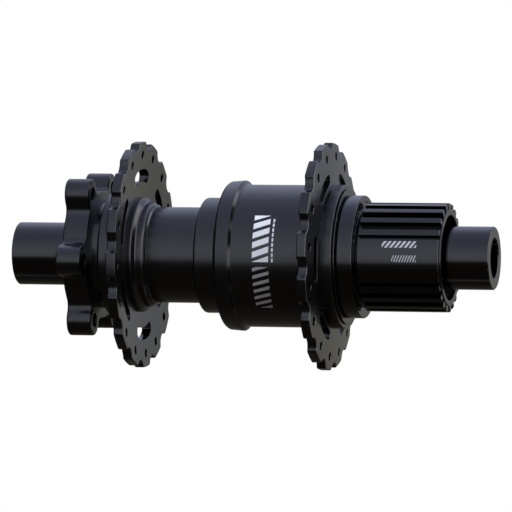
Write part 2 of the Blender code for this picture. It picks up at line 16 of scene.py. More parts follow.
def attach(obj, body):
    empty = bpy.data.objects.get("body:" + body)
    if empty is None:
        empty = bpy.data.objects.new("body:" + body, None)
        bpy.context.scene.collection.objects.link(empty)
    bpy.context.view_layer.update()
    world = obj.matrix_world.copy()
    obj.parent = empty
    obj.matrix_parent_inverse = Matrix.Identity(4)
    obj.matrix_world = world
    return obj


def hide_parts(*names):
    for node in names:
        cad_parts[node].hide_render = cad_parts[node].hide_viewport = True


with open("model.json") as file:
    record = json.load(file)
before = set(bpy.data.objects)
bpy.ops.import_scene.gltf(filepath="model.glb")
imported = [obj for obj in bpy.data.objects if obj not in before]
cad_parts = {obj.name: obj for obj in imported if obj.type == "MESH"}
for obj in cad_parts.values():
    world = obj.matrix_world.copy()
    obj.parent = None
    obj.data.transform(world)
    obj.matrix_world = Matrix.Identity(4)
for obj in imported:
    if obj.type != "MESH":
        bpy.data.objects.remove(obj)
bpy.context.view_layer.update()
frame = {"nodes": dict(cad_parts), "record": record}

MM = 0.001
SEGMENTS = 180                   # round a turned piece
BEVEL_STEPS = 3
BORE_SEGMENTS = 96
WELD_DISTANCE = 0.0005 * MM
SHARP_ANGLE = math.radians(40)
STRAIGHT = math.radians(80)      # half a corner's angle from which it counts as a curve's own point

# Rotor mount
ROTOR_FACE = 55.2
ROTOR_MOUNT_BACK = 47.5
ROTOR_BORE_R = 14.7
ROTOR_EDGE = 0.6
ROTOR_BOLTS = 6
ROTOR_BOLT_PITCH = 360.0 / ROTOR_BOLTS
ROTOR_BOLT_CIRCLE_R = 22.0
ROTOR_BOLT_R = 2.1
ROTOR_LOBE_R = 4.7
ROTOR_VALLEY_R = 19.5
ROTOR_FILLET_R = 3.0
ROTOR_FIRST_LOBE = -35.3

# Spoke flanges
FLANGE_R = 34.3
SPOKES = 16
SPOKE_PITCH = 360.0 / SPOKES
SPOKE_CIRCLE_R = 30.25
SPOKE_HOLE_R = 1.3
SCALLOP_DEPTH = 2.0
SCALLOP_R = 3.4                  # radius of the cutter that made the notches
LOBE_CORNER_R = 0.9
FLANGE_EDGE = 0.4
SPOKE_HOLE_EDGE = 0.2
WINDOW_EDGE = 0.12
WINDOWS = 6
WINDOW_PITCH = 360.0 / WINDOWS
LEFT_FLANGE = (34.65, 37.65)
RIGHT_FLANGE = (-24.3, -21.4)
FLANGE_LEAN = 0.07               # how far a flange leans outwards for each millimetre of radius
LEFT_FIRST_HOLE = -5.8
RIGHT_FIRST_HOLE = 5.3
LEFT_FIRST_WINDOW = -5.8
RIGHT_FIRST_WINDOW = 27.8
LEFT_WINDOW = (21.4, 26.0, 18.5, 0.9)    # inner radius, outer radius, half angle, inner bulge
RIGHT_WINDOW = (22.5, 26.1, 16.5, 0.0)

# Shell body
SHELL_ROTOR_END = ROTOR_FACE - 0.4
COLLAR_R = 19.3
NECK_R = 16.4
BEAD_R = 17.4
LOW_BEAD_R = 15.6
TUBE_R = 14.5
BEARING_RING_R = 17.45
CLUTCH_RING_R = 22.75
BARREL_R = 21.5
BOSS_R = 21.7
BOSS_END = -28.7
CLUTCH_BORE_R = 19.2
SNAP_RING_GROOVE = (19.8, -18.0, -16.4)  # radius, drive-side and rotor-side stations
CENTER_SEAT = (15.2, 6.4, 14.3)
LEFT_SEAT = (14.2, 45.7, SHELL_ROTOR_END)
SHELL_BORE_R = 12.2

# Freehub
SPLINES = 23
SPLINE_PITCH = 360.0 / SPLINES
SPLINE_TIP_R = 16.4
SPLINE_ROOT_R = 14.5
SPLINE_HALF_ANGLE = 3.3
SPLINE_SKIRT = 0.5               # how much wider a tooth is at its root, in degrees a side
SPLINE_EDGE = 0.3
WIDE_LAND_ANGLE = -94.3
WIDE_LAND_TEETH = 3
WIDE_LAND_REACH = 7.7
FREEHUB_FLANGE_R = 18.5
FREEHUB_BACK = -29.6
STOP_FACE = -34.2
STOP_RELIEF_R = 16.7
STOP_RELIEF = 0.3
SPLINE_START = -35.3
SPLINE_END = -60.2
FREEHUB_END = -60.5
SLEEVE_SEAT = (13.0, -36.3)      # radius, and the station of its inner end
FREEHUB_BORE_R = 11.6
OUTER_BEARING_SEAT = (12.2, -49.0)
MOUTH = (12.8, -54.8)

# End caps
CAP_R = 9.5
CAP_FOOT_R = 8.6
CAP_SLIDE_R = 7.5                # where a cap slides on the axle
CAP_CHAMFER = 0.3
LEFT_CAP = (56.0, 53.3, 58.1, 62.3)      # shoulder, foot, middle of the O-ring groove, pocket
RIGHT_CAP = (60.9, 54.6, 62.2, 64.3)
O_RING_GROOVE_DEPTH = 1.0
O_RING_GROOVE_HALF = 0.7
THRU_BORE_R = 6.0
DROPOUT_FACE = 74.0

# Clutch cover
COVER_R = 20.4
COVER_NECK_R = 19.0
COVER_BORE_R = 16.8
COVER_START = -25.0
COVER_LIP = -28.9
COVER_END = -29.3

# Camera, in metres and radians but for its lens
CAMERA_DISTANCE = 1.7018
CAMERA_SWING = math.radians(14.34)
CAMERA_ROLL = 0.011
SENSOR_MM = 36.0
LENS_MM = 395.85234375
SHIFT_X = 0.00197265625
SHIFT_Y = -0.00048828125

# Stage
FLOOR_HEIGHT = -0.2
FLOOR_RADIUS = 1.2
CEILING_HEIGHT = 1.5
CEILING_SIZE = 1.5
CEILING_WATTS = 20.0


def polar(radius, angle):
    """A point in the plane across the axle, as (x, z)."""
    turn = math.radians(angle)
    return radius * math.sin(turn), radius * math.cos(turn)


def add_object(name, mesh):
    obj = bpy.data.objects.new(name, mesh)
    bpy.context.scene.collection.objects.link(obj)
    return obj


def rounded(profile, usual_edge=0.2, steps=BEVEL_STEPS):
    """A closed profile with an arc in the place of each corner.

    A point may carry its own edge radius as a third number.
    """
    points = [Vector(p[:2]) for p in profile]
    result = []
    for i, corner in enumerate(points):
        edge = profile[i][2] if len(profile[i]) > 2 else usual_edge
        before = points[i - 1] - corner
        after = points[(i + 1) % len(points)] - corner
        half = before.angle(after) / 2
        if half > STRAIGHT:
            result.append(corner)
            continue
        reach = min(edge / math.tan(half), 0.45 * before.length, 0.45 * after.length)
        radius = reach * math.tan(half)
        center = corner + (before.normalized() + after.normalized()).normalized() * (
            radius / math.sin(half))
        start = corner + before.normalized() * reach - center
        end = corner + after.normalized() * reach - center
        sweep = start.angle_signed(end)
        for step in range(steps + 1):
            turn = Matrix.Rotation(-sweep * step / steps, 2)
            result.append(center + turn @ start)
    return result


def lathe(name, profile, segments=SEGMENTS):
    """A body of revolution about the hub axis from a closed profile of (radius, station) points."""
    mesh = bpy.data.meshes.new(name)
    count = len(profile)
    points = []
    for i in range(segments):
        turn = 360.0 * i / segments
        for radius, station in profile:
            x, z = polar(radius, turn)
            points.append((x * MM, station * MM, z * MM))
    faces = []
    for i in range(segments):
        here = i * count
        there = (i + 1) % segments * count
        for j in range(count):
            k = (j + 1) % count
            faces.append((here + j, here + k, there + k, there + j))
    mesh.from_pydata(points, [], faces)
    weld(mesh)
    return add_object(name, mesh)


def weld(mesh):
    """Merge points that lie on each other, and turn every face outwards."""
    edit = bmesh.new()
    edit.from_mesh(mesh)
    bmesh.ops.remove_doubles(edit, verts=edit.verts, dist=WELD_DISTANCE)
    bmesh.ops.recalc_face_normals(edit, faces=edit.faces)
    edit.to_mesh(mesh)
    edit.free()


def signed_area(loop):
    return sum(a[0] * b[1] - b[0] * a[1] for a, b in zip(loop, loop[1:] + loop[:1])) / 2


def moved_sideways(loop, distance):
    """A closed outline moved to its own left by a distance, with each corner kept as one point."""
    points = [Vector(p) for p in loop]
    result = []
    for i, point in enumerate(points):
        into = (point - points[i - 1]).normalized()
        out = (points[(i + 1) % len(points)] - point).normalized()
        along = (into + out).normalized()
        side = Vector((-along.y, along.x))
        stretch = max(side.dot(Vector((-into.y, into.x))), 0.5)
        result.append(point + side * (distance / stretch))
    return result


def fill_face(edit, rims, inner_points, station_at):
    """Triangles between an outline and its holes, through extra points that hold the face's shape."""
    coords = []
    verts = []
    faces = []
    for rim, rim_verts in rims:
        indices = list(range(len(coords), len(coords) + len(rim)))
        coords.extend(rim)
        verts.extend(rim_verts)
        faces.append(indices if signed_area(rim) > 0.0 else indices[::-1])
    for point in inner_points:
        coords.append(Vector(point))
        verts.append(None)
    _, _, triangles, originals, _, owners = delaunay_2d_cdt(coords, [], faces, 1, 0.00001, True)
    for triangle, owner in zip(triangles, owners):
        if owner != [0]:
            continue
        corners = []
        for index in triangle:
            source = originals[index][0]
            if verts[source] is None:
                x, z = coords[source]
                height = station_at(math.hypot(x, z))
                verts[source] = edit.verts.new((x * MM, height * MM, z * MM))
            corners.append(verts[source])
        edit.faces.new(corners)


def plate(name, rims, low, high, lean=0.0, lean_r=0.0, inner_points=()):
    """A plate across the axle with rounded edges.

    rims holds (outline, edge radius) pairs, the outside first and then the holes.  A lean bends the
    plate into a cone, whose station grows by that much for each millimetre outside lean_r.
    """
    edit = bmesh.new()
    top_rims = []
    bottom_rims = []

    def station_at(base):
        return lambda radius: base + lean * (radius - lean_r)

    for number, (outline, edge) in enumerate(rims):
        wanted = 1.0 if number == 0 else -1.0
        loop = outline if signed_area(outline) * wanted > 0.0 else outline[::-1]
        rows = []
        for side in (1, -1):
            turns = range(BEVEL_STEPS, -1, -1) if side == 1 else range(BEVEL_STEPS + 1)
            for step in turns:
                turn = math.pi / 2 * step / BEVEL_STEPS
                sunk = edge * (1.0 - math.sin(turn))
                base = high - sunk if side == 1 else low + sunk
                ring = moved_sideways(loop, edge * (1.0 - math.cos(turn)))
                rows.append([edit.verts.new((p.x * MM, station_at(base)(p.length) * MM, p.y * MM))
                             for p in ring])
                if step == BEVEL_STEPS:
                    (top_rims if side == 1 else bottom_rims).append((ring, rows[-1]))
        for upper, lower in zip(rows, rows[1:]):
            for i in range(len(loop)):
                k = (i + 1) % len(loop)
                edit.faces.new((upper[i], upper[k], lower[k], lower[i]))
    fill_face(edit, top_rims, inner_points, station_at(high))
    fill_face(edit, bottom_rims, inner_points, station_at(low))
    bmesh.ops.recalc_face_normals(edit, faces=edit.faces)
    mesh = bpy.data.meshes.new(name)
    edit.to_mesh(mesh)
    edit.free()
    return add_object(name, mesh)


def realize(obj):
    """Swap an object's modifiers for the mesh they make."""
    bpy.context.view_layer.update()
    evaluated = obj.evaluated_get(bpy.context.evaluated_depsgraph_get())
    mesh = bpy.data.meshes.new_from_object(evaluated)
    obj.modifiers.clear()
    obj.data = mesh


def combine(obj, tool, operation):
    boolean = obj.modifiers.new("combine", "BOOLEAN")
    boolean.operation = operation
    boolean.solver = "EXACT"
    boolean.object = tool
    realize(obj)
    bpy.data.objects.remove(tool, do_unlink=True)


def finish(obj, material, body, node):
    """Smooth a finished piece, paint it, and let it stand for its CAD node."""
    weld(obj.data)
    obj.data.name = obj.name
    obj.data.materials.clear()
    obj.data.materials.append(material)
    obj.data.shade_smooth()
    obj.data.set_sharp_from_angle(angle=SHARP_ANGLE)
    weighted = obj.modifiers.new("normals", "WEIGHTED_NORMAL")
    weighted.keep_sharp = True
    weighted.weight = 100
    realize(obj)
    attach(obj, body)
    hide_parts(node)


def circle(radius, count, center=(0.0, 0.0)):
    return [(center[0] + radius * math.cos(math.tau * i / count),
             center[1] + radius * math.sin(math.tau * i / count)) for i in range(count)]


def direction(start, end):
    """The way from one point to another, in degrees from straight up."""
    return math.degrees(math.atan2(end[0] - start[0], end[1] - start[1]))


def arc(center, radius, start, end, steps):
    """Points round a center from one direction to another, by the shorter way."""
    sweep = (end - start + 180.0) % 360.0 - 180.0
    points = []
    for step in range(steps + 1):
        dx, dz = polar(radius, start + sweep * step / steps)
        points.append((center[0] + dx, center[1] + dz))
    return points


def angle_between(side_a, side_b, opposite):
    """The angle in degrees between two sides of a triangle, from all three lengths."""
    return math.degrees(math.acos((side_a ** 2 + side_b ** 2 - opposite ** 2) / (2 * side_a * side_b)))


def scalloped_edge(first_hole):
    """The flange's outline: a lobe at each spoke hole, and a notch milled between each two."""
    outline = []
    cutter_r = FLANGE_R - SCALLOP_DEPTH + SCALLOP_R
    corner_r = FLANGE_R - LOBE_CORNER_R
    offset = angle_between(cutter_r, corner_r, SCALLOP_R + LOBE_CORNER_R)
    for hole in range(SPOKES):
        middle = first_hole + hole * SPOKE_PITCH
        last_notch = middle - SPOKE_PITCH / 2
        notch = middle + SPOKE_PITCH / 2
        before = polar(corner_r, last_notch + offset)
        after = polar(corner_r, notch - offset)
        beyond = polar(corner_r, notch + offset)
        cutter = polar(cutter_r, notch)
        outline += arc(before, LOBE_CORNER_R, direction(before, polar(cutter_r, last_notch)),
                       last_notch + offset, 5)
        outline += arc((0.0, 0.0), FLANGE_R, last_notch + offset, notch - offset, 6)[1:-1]
        outline += arc(after, LOBE_CORNER_R, notch - offset, direction(after, cutter), 5)
        outline += arc(cutter, SCALLOP_R, direction(cutter, after), direction(cutter, beyond),
                       10)[1:-1]
    return outline


def window(angle, low_r, high_r, half_angle, bulge):
    """A rounded window that follows the flange, its inner edge pushed outward at the middle."""
    outline = []
    count = 40
    power = 0.6
    for i in range(count):
        turn = math.tau * i / count
        across = math.copysign(abs(math.cos(turn)) ** power, math.cos(turn))
        up = math.copysign(abs(math.sin(turn)) ** power, math.sin(turn))
        radius = (low_r + high_r) / 2 + (high_r - low_r) / 2 * up
        if up < 0.0:
            radius += bulge * (1.0 - across * across) * -up
        outline.append(polar(radius, angle + half_angle * across))
    return outline


def rotor_mount_outline():
    """Six round lobes, each joined by hollow fillets to the round valleys beside it."""
    outline = []
    origin = (0.0, 0.0)
    fillet_center_r = ROTOR_VALLEY_R + ROTOR_FILLET_R
    offset = angle_between(fillet_center_r, ROTOR_BOLT_CIRCLE_R, ROTOR_LOBE_R + ROTOR_FILLET_R)
    for lobe in range(ROTOR_BOLTS):
        middle = ROTOR_FIRST_LOBE + lobe * ROTOR_BOLT_PITCH
        center = polar(ROTOR_BOLT_CIRCLE_R, middle)
        before = polar(fillet_center_r, middle - offset)
        after = polar(fillet_center_r, middle + offset)
        outline += arc(before, ROTOR_FILLET_R, direction(before, origin),
                       direction(before, center), 10)[:-1]
        outline += arc(center, ROTOR_LOBE_R, direction(center, before), middle, 14)[:-1]
        outline += arc(center, ROTOR_LOBE_R, middle, direction(center, after), 14)[:-1]
        outline += arc(after, ROTOR_FILLET_R, direction(after, center),
                       direction(after, origin), 10)
        outline += arc(origin, ROTOR_VALLEY_R, middle + offset,
                       middle + ROTOR_BOLT_PITCH - offset, 6)[1:-1]
    return outline


def clear_points(rims, radii, count, clearance=0.5):
    """Points on circles that stay clear of every outline."""
    outlines = [[Vector(p) for p in outline] for outline, _ in rims]
    outside = outlines[0]
    points = []
    for radius in radii:
        for i in range(count):
            point = Vector(polar(radius, 360.0 * i / count))
            if not inside(point, outside) or any(inside(point, hole) for hole in outlines[1:]):
                continue
            if all((point - p).length > clearance for outline in outlines for p in outline):
                points.append(point)
    return points


def inside(point, outline):
    """Whether a point lies within an outline, by how many of its sides pass on one side."""
    result = False
    for a, b in zip(outline, outline[1:] + outline[:1]):
        if (a.y > point.y) != (b.y > point.y):
            if point.x < a.x + (b.x - a.x) * (point.y - a.y) / (b.y - a.y):
                result = not result
    return result


def flange(name, stations, inner_r, first_hole, windows, lean):
    """A leaning spoke flange with its holes and windows, held in shape by rings of extra points."""
    rims = [(scalloped_edge(first_hole), FLANGE_EDGE), (circle(inner_r, BORE_SEGMENTS), 0.0)]
    for hole in range(SPOKES):
        center = polar(SPOKE_CIRCLE_R, first_hole + hole * SPOKE_PITCH)
        rims.append((circle(SPOKE_HOLE_R, 20, center), SPOKE_HOLE_EDGE))
    rims += [(outline, WINDOW_EDGE) for outline in windows]
    radii = [inner_r + 1.2 + 1.2 * i for i in range(13)]
    return plate(name, rims, *stations, lean=lean, lean_r=SPOKE_CIRCLE_R,
                 inner_points=clear_points(rims, radii, 120))


def shell_profile():
    """The shell's section: collar, two beads, tube, bearing ring, clutch ring, barrel and boss."""
    groove_r, groove_low, groove_high = SNAP_RING_GROOVE
    center_r, center_low, center_high = CENTER_SEAT
    left_r, left_low, left_high = LEFT_SEAT
    collar = [(NECK_R, SHELL_ROTOR_END), (NECK_R, 45.0), (NECK_R + 0.6, 44.4),
              (COLLAR_R, 44.0, 0.4), (COLLAR_R, 36.5)]
    beads = [(BEAD_R, 35.8), (BEAD_R, 34.4, 0.7), (NECK_R - 0.6, 33.3, 0.8), (NECK_R - 0.7, 31.9),
             (LOW_BEAD_R, 31.6, 0.3), (LOW_BEAD_R - 0.5, 31.1, 0.1), (LOW_BEAD_R - 0.4, 30.7, 0.1)]
    tube = [(TUBE_R, 30.3), (TUBE_R, 15.5), (TUBE_R - 0.3, 15.4), (TUBE_R - 0.3, 15.0)]
    ring = [(BEARING_RING_R, 15.0, 0.8), (BEARING_RING_R, 8.1), (BEARING_RING_R - 0.3, 8.0),
            (BEARING_RING_R - 0.3, 7.6)]
    clutch = [(CLUTCH_RING_R - 0.9, 7.6, 0.4), (CLUTCH_RING_R - 0.3, 6.8, 0.6),
              (CLUTCH_RING_R, 2.9, 0.1), (BARREL_R + 0.25, 2.1), (BARREL_R, 1.4)]
    barrel = [(BARREL_R, -22.4), (BOSS_R, -23.0), (BOSS_R, BOSS_END, 0.25)]
    clutch_bore = [(CLUTCH_BORE_R, BOSS_END), (CLUTCH_BORE_R, groove_low), (groove_r, groove_low),
                   (groove_r, groove_high), (CLUTCH_BORE_R, groove_high),
                   (CLUTCH_BORE_R, center_low)]
    seats = [(center_r, center_low), (center_r, center_high), (SHELL_BORE_R, center_high),
             (SHELL_BORE_R, left_low), (left_r, left_low), (left_r, left_high)]
    return collar + beads + tube + ring + clutch + barrel + clutch_bore + seats


def make_hub_shell(material):
    """The one-piece shell: turned body, two drilled flanges and the rotor mount."""
    shell = lathe("shell_visual", rounded(shell_profile(), 0.15))
    left_windows = [window(LEFT_FIRST_WINDOW + i * WINDOW_PITCH, *LEFT_WINDOW)
                    for i in range(WINDOWS)]
    right_windows = [window(RIGHT_FIRST_WINDOW + i * WINDOW_PITCH, *RIGHT_WINDOW)
                     for i in range(WINDOWS)]
    left = flange("left_flange", LEFT_FLANGE, TUBE_R + 0.3, LEFT_FIRST_HOLE, left_windows,
                  -FLANGE_LEAN)
    right = flange("right_flange", RIGHT_FLANGE, BARREL_R - 1.0, RIGHT_FIRST_HOLE, right_windows,
                   FLANGE_LEAN)
    combine(shell, left, "UNION")
    combine(shell, right, "UNION")
    rims = [(rotor_mount_outline(), ROTOR_EDGE), (circle(ROTOR_BORE_R, BORE_SEGMENTS), 0.2)]
    for i in range(ROTOR_BOLTS):
        center = polar(ROTOR_BOLT_CIRCLE_R, ROTOR_FIRST_LOBE + i * ROTOR_BOLT_PITCH)
        rims.append((circle(ROTOR_BOLT_R, 32, center), 0.3))
    combine(shell, plate("rotor_mount", rims, ROTOR_MOUNT_BACK, ROTOR_FACE), "UNION")
    finish(shell, material, "shell", "hub_shell")


def spline_outline():
    """Straight teeth all round, with one smooth land in the place of three of them."""
    outline = []
    root = SPLINE_ROOT_R - 0.3
    half = SPLINE_HALF_ANGLE
    side = (WIDE_LAND_TEETH - 1) / 2
    land_half = side * SPLINE_PITCH + WIDE_LAND_REACH
    land_steps = 40
    outline.append(polar(root, WIDE_LAND_ANGLE - land_half - SPLINE_SKIRT))
    for step in range(land_steps + 1):
        outline.append(polar(SPLINE_TIP_R, WIDE_LAND_ANGLE + land_half * (2 * step / land_steps - 1)))
    outline.append(polar(root, WIDE_LAND_ANGLE + land_half + SPLINE_SKIRT))
    for tooth in range(SPLINES - WIDE_LAND_TEETH):
        middle = WIDE_LAND_ANGLE + (side + 1 + tooth) * SPLINE_PITCH
        outline.append(polar(root, middle - half - SPLINE_SKIRT))
        for turn in (-half, -half / 2, 0.0, half / 2, half):
            outline.append(polar(SPLINE_TIP_R, middle + turn))
        outline.append(polar(root, middle + half + SPLINE_SKIRT))
    return outline


def make_freehub_body(material):
    """The splined sprocket carrier."""
    relief = STOP_FACE + STOP_RELIEF
    sleeve_r, sleeve_end = SLEEVE_SEAT
    bearing_r, bearing_end = OUTER_BEARING_SEAT
    mouth_r, mouth_end = MOUTH
    outside = [(FREEHUB_FLANGE_R, FREEHUB_BACK), (FREEHUB_FLANGE_R, STOP_FACE),
               (STOP_RELIEF_R, STOP_FACE), (STOP_RELIEF_R, relief), (SPLINE_ROOT_R, relief),
               (SPLINE_ROOT_R, FREEHUB_END)]
    inside_steps = [(mouth_r, FREEHUB_END), (mouth_r, mouth_end), (bearing_r, mouth_end),
                    (bearing_r, bearing_end), (FREEHUB_BORE_R, bearing_end),
                    (FREEHUB_BORE_R, sleeve_end), (sleeve_r, sleeve_end), (sleeve_r, FREEHUB_BACK)]
    body = lathe("freehub_visual", rounded(outside + inside_steps, 0.25))
    rims = [(spline_outline(), SPLINE_EDGE), (circle(SPLINE_ROOT_R - 0.8, BORE_SEGMENTS), 0.0)]
    combine(body, plate("teeth", rims, SPLINE_END, SPLINE_START), "UNION")
    finish(body, material, "freehub", "freehub_body")


def cap_profile(shoulder, foot, groove, pocket):
    """A rotor-side cap: wide outside the shoulder, and grooved within for its O-ring."""
    face = DROPOUT_FACE
    chamfer = DROPOUT_FACE - CAP_CHAMFER
    groove_r = CAP_SLIDE_R + O_RING_GROOVE_DEPTH
    groove_low = groove - O_RING_GROOVE_HALF
    groove_high = groove + O_RING_GROOVE_HALF
    return [(CAP_R - CAP_CHAMFER, face), (CAP_R, chamfer), (CAP_R, shoulder),
            (CAP_FOOT_R, shoulder), (CAP_FOOT_R, foot), (CAP_SLIDE_R, foot),
            (CAP_SLIDE_R, groove_low), (groove_r, groove_low), (groove_r, groove_high),
            (CAP_SLIDE_R, groove_high), (CAP_SLIDE_R, pocket), (THRU_BORE_R, pocket),
            (THRU_BORE_R, chamfer), (THRU_BORE_R + CAP_CHAMFER, face)]


def mirrored(profile):
    return [(radius, -station) for radius, station in reversed(profile)]


def make_end_caps(material):
    left = lathe("left_cap_visual", rounded(cap_profile(*LEFT_CAP), 0.08))
    right = lathe("right_cap_visual", rounded(mirrored(cap_profile(*RIGHT_CAP)), 0.08))
    finish(left, material, "axle", "left_end_cap")
    finish(right, material, "axle", "right_end_cap")


def make_clutch_cover(material):
    profile = [(COVER_NECK_R, COVER_START), (COVER_NECK_R, COVER_LIP), (COVER_R, COVER_LIP),
               (COVER_R, COVER_END), (COVER_BORE_R, COVER_END), (COVER_BORE_R, COVER_START)]
    finish(lathe("cover_visual", rounded(profile, 0.12)), material, "shell",
           "clutch_cover")


def make_seals(material):
    left = [(13.9, 53.3), (13.9, 54.6), (9.6, 54.6), (8.9, 54.2), (8.9, 53.7), (9.6, 53.3)]
    outer = [(12.5, -56.6), (12.5, -55.1), (8.9, -55.1), (8.9, -56.6)]
    finish(lathe("left_seal_visual", rounded(left, 0.1)), material, "shell",
           "left_seal")
    finish(lathe("freehub_seal_visual", rounded(outer, 0.1)), material, "freehub",
           "freehub_seal")


def put(tree, value, socket):
    """Link an output to a socket, or set the socket's own value."""
    if isinstance(value, bpy.types.NodeSocket):
        tree.links.new(value, socket)
    else:
        socket.default_value = value


def maths(tree, operation, *values):
    node = tree.nodes.new("ShaderNodeMath")
    node.operation = operation
    for value, socket in zip(values, node.inputs):
        put(tree, value, socket)
    return node.outputs[0]


def between(tree, value, low, high):
    """1 where a value lies between two limits, and 0 elsewhere."""
    above = maths(tree, "GREATER_THAN", value, low)
    return maths(tree, "MULTIPLY", above, maths(tree, "LESS_THAN", value, high))


def remap(tree, value, low, high, to_low, to_high):
    node = tree.nodes.new("ShaderNodeMapRange")
    for name, amount in (("From Min", low), ("From Max", high), ("To Min", to_low),
                         ("To Max", to_high)):
        node.inputs[name].default_value = amount
    put(tree, value, node.inputs["Value"])
    return node.outputs[0]


def mix_color(tree, factor, first, second):
    """The first colour where the factor is 0, and the second where it is 1."""
    node = tree.nodes.new("ShaderNodeMix")
    node.data_type = "RGBA"
    sockets = {socket.identifier: socket for socket in node.inputs}
    put(tree, factor, sockets["Factor_Float"])
    put(tree, first, sockets["A_Color"])
    put(tree, second, sockets["B_Color"])
    return next(socket for socket in node.outputs if socket.identifier == "Result_Color")


def noise(tree, vector, scale, detail=2.0):
    node = tree.nodes.new("ShaderNodeTexNoise")
    node.inputs["Scale"].default_value = scale
    node.inputs["Detail"].default_value = detail
    put(tree, vector, node.inputs["Vector"])
    return node.outputs[0]


def places(tree):
    """Where a point is on its piece: its place in millimetres, radius, angle and station."""
    coordinate = tree.nodes.new("ShaderNodeTexCoord")
    scaled = tree.nodes.new("ShaderNodeVectorMath")
    scaled.operation = "SCALE"
    scaled.inputs["Scale"].default_value = 1.0 / MM
    tree.links.new(coordinate.outputs["Object"], scaled.inputs[0])
    split = tree.nodes.new("ShaderNodeSeparateXYZ")
    tree.links.new(scaled.outputs[0], split.inputs[0])
    x, y, z = split.outputs
    across = maths(tree, "ADD", maths(tree, "MULTIPLY", x, x), maths(tree, "MULTIPLY", z, z))
    radius = maths(tree, "SQRT", across)
    angle = maths(tree, "DEGREES", maths(tree, "ARCTAN2", x, z))
    return scaled.outputs[0], radius, angle, y


def cut_lines(tree, radius, station, pitch):
    """The fine rings that a lathe tool leaves, as a value from 0 to 1."""
    combined = tree.nodes.new("ShaderNodeCombineXYZ")
    tree.links.new(radius, combined.inputs[0])
    tree.links.new(station, combined.inputs[1])
    return noise(tree, combined.outputs[0], 1.0 / pitch, 1.0)


def new_material(name):
    material = bpy.data.materials.new(name)
    material.use_nodes = True
    return material, material.node_tree, material.node_tree.nodes["Principled BSDF"]


def worn_and_highlit_edges(tree):
    """1 on a sharp convex edge and 0 on a flat: the mask of edges painted lighter, partly for wear of
    the finish by handling and partly as a painted highlight.
    """
    geometry = tree.nodes.new("ShaderNodeNewGeometry")
    return remap(tree, geometry.outputs["Pointiness"], 0.58, 0.72, 0.0, 1.0)


def add_bump(tree, shader, heights):
    """Chain bumps from (height, depth in millimetres) pairs into the shader's normal."""
    normal = None
    for height, depth in heights:
        bump = tree.nodes.new("ShaderNodeBump")
        bump.inputs["Distance"].default_value = depth * MM
        put(tree, height, bump.inputs["Height"])
        if normal is not None:
            tree.links.new(normal, bump.inputs["Normal"])
        normal = bump.outputs[0]
    tree.links.new(normal, shader.inputs["Normal"])


def anodised(name, roughness, black, marks=None):
    """Black anodised aluminium: turning lines, a fine blasted grain, and sharp edges painted lighter,
    partly as wear and partly as a painted highlight.
    """
    material, tree, shader = new_material(name)
    place, radius, angle, station = places(tree)
    lines = cut_lines(tree, radius, station, 0.35)
    grain = noise(tree, place, 7.0)
    patches = noise(tree, place, 0.15, 3.0)
    edges = worn_and_highlit_edges(tree)
    color = mix_color(tree, patches, (0.6 * black, 0.6 * black, 0.7 * black, 1.0),
                      (1.4 * black, 1.4 * black, 1.6 * black, 1.0))
    # Sharp edges are painted lighter: partly wear of the finish, partly a painted highlight on the
    # edges.
    color = mix_color(tree, maths(tree, "MULTIPLY", edges, 0.6), color, (0.05, 0.05, 0.055, 1.0))
    rough = maths(tree, "ADD", remap(tree, lines, 0.3, 0.7, -0.02, 0.02),
                  remap(tree, patches, 0.3, 0.7, roughness - 0.015, roughness + 0.015))
    if marks:
        ink, ink_color = marks(tree, angle, station)
        color = mix_color(tree, ink, color, ink_color)
        rough = maths(tree, "ADD", rough, maths(tree, "MULTIPLY", ink, 0.3))
    put(tree, color, shader.inputs["Base Color"])
    put(tree, rough, shader.inputs["Roughness"])
    add_bump(tree, shader, ((lines, 0.0012), (grain, 0.0008)))
    return material


def slanted_bars(tree, angle, station, area, count, slant, duty):
    """Ink mask of slanted bars filling an area (first angle, last angle, low and high station)."""
    first, last, low, high = area
    along = remap(tree, angle, first, last, 0.0, count)
    across = remap(tree, station, low, high, 0.0, slant)
    phase = maths(tree, "FRACT", maths(tree, "ADD", along, across))
    bars = maths(tree, "LESS_THAN", phase, duty)
    inside_angle = between(tree, angle, min(first, last), max(first, last))
    area_mask = maths(tree, "MULTIPLY", inside_angle, between(tree, station, low, high))
    return maths(tree, "MULTIPLY", bars, area_mask)


def barrel_marks(tree, angle, station):
    """Plain printed bars on the clutch barrel: a bright block, a thin rule and a grey block."""
    bright = slanted_bars(tree, angle, station, (-95.0, -56.0, -9.5, -4.5), 5.0, 0.6, 0.62)
    rule = slanted_bars(tree, angle, station, (-95.0, -58.0, -10.9, -10.4), 9.0, 0.0, 0.7)
    grey = slanted_bars(tree, angle, station, (-136.0, -99.0, -9.5, -4.5), 6.0, 0.6, 0.45)
    ink = maths(tree, "MAXIMUM", maths(tree, "MAXIMUM", bright, grey), rule)
    tint = mix_color(tree, grey, (0.75, 0.75, 0.76, 1.0), (0.30, 0.28, 0.27, 1.0))
    return ink, tint


def freehub_marks(tree, angle, station):
    """Small plain bars printed on the freehub's wide land."""
    top = slanted_bars(tree, angle, station, (-80.0, -73.0, -53.5, -43.0), 1.0, 7.0, 0.55)
    low = slanted_bars(tree, angle, station, (-95.0, -88.0, -53.5, -46.0), 1.0, 9.0, 0.4)
    return maths(tree, "MAXIMUM", top, low), (0.45, 0.45, 0.46, 1.0)


def metal(name, light, dark, roughness, pitch, depth=0.002):
    """Bare turned or ground metal, with cut lines and slightly uneven shine."""
    material, tree, shader = new_material(name)
    place, radius, _, station = places(tree)
    lines = cut_lines(tree, radius, station, pitch)
    stain = noise(tree, place, 0.4, 4.0)
    put(tree, mix_color(tree, stain, (*dark, 1.0), (*light, 1.0)), shader.inputs["Base Color"])
    put(tree, remap(tree, lines, 0.3, 0.7, roughness - 0.05, roughness + 0.08),
        shader.inputs["Roughness"])
    shader.inputs["Metallic"].default_value = 1.0
    add_bump(tree, shader, ((lines, depth), (noise(tree, place, 9.0), depth / 2)))
    return material


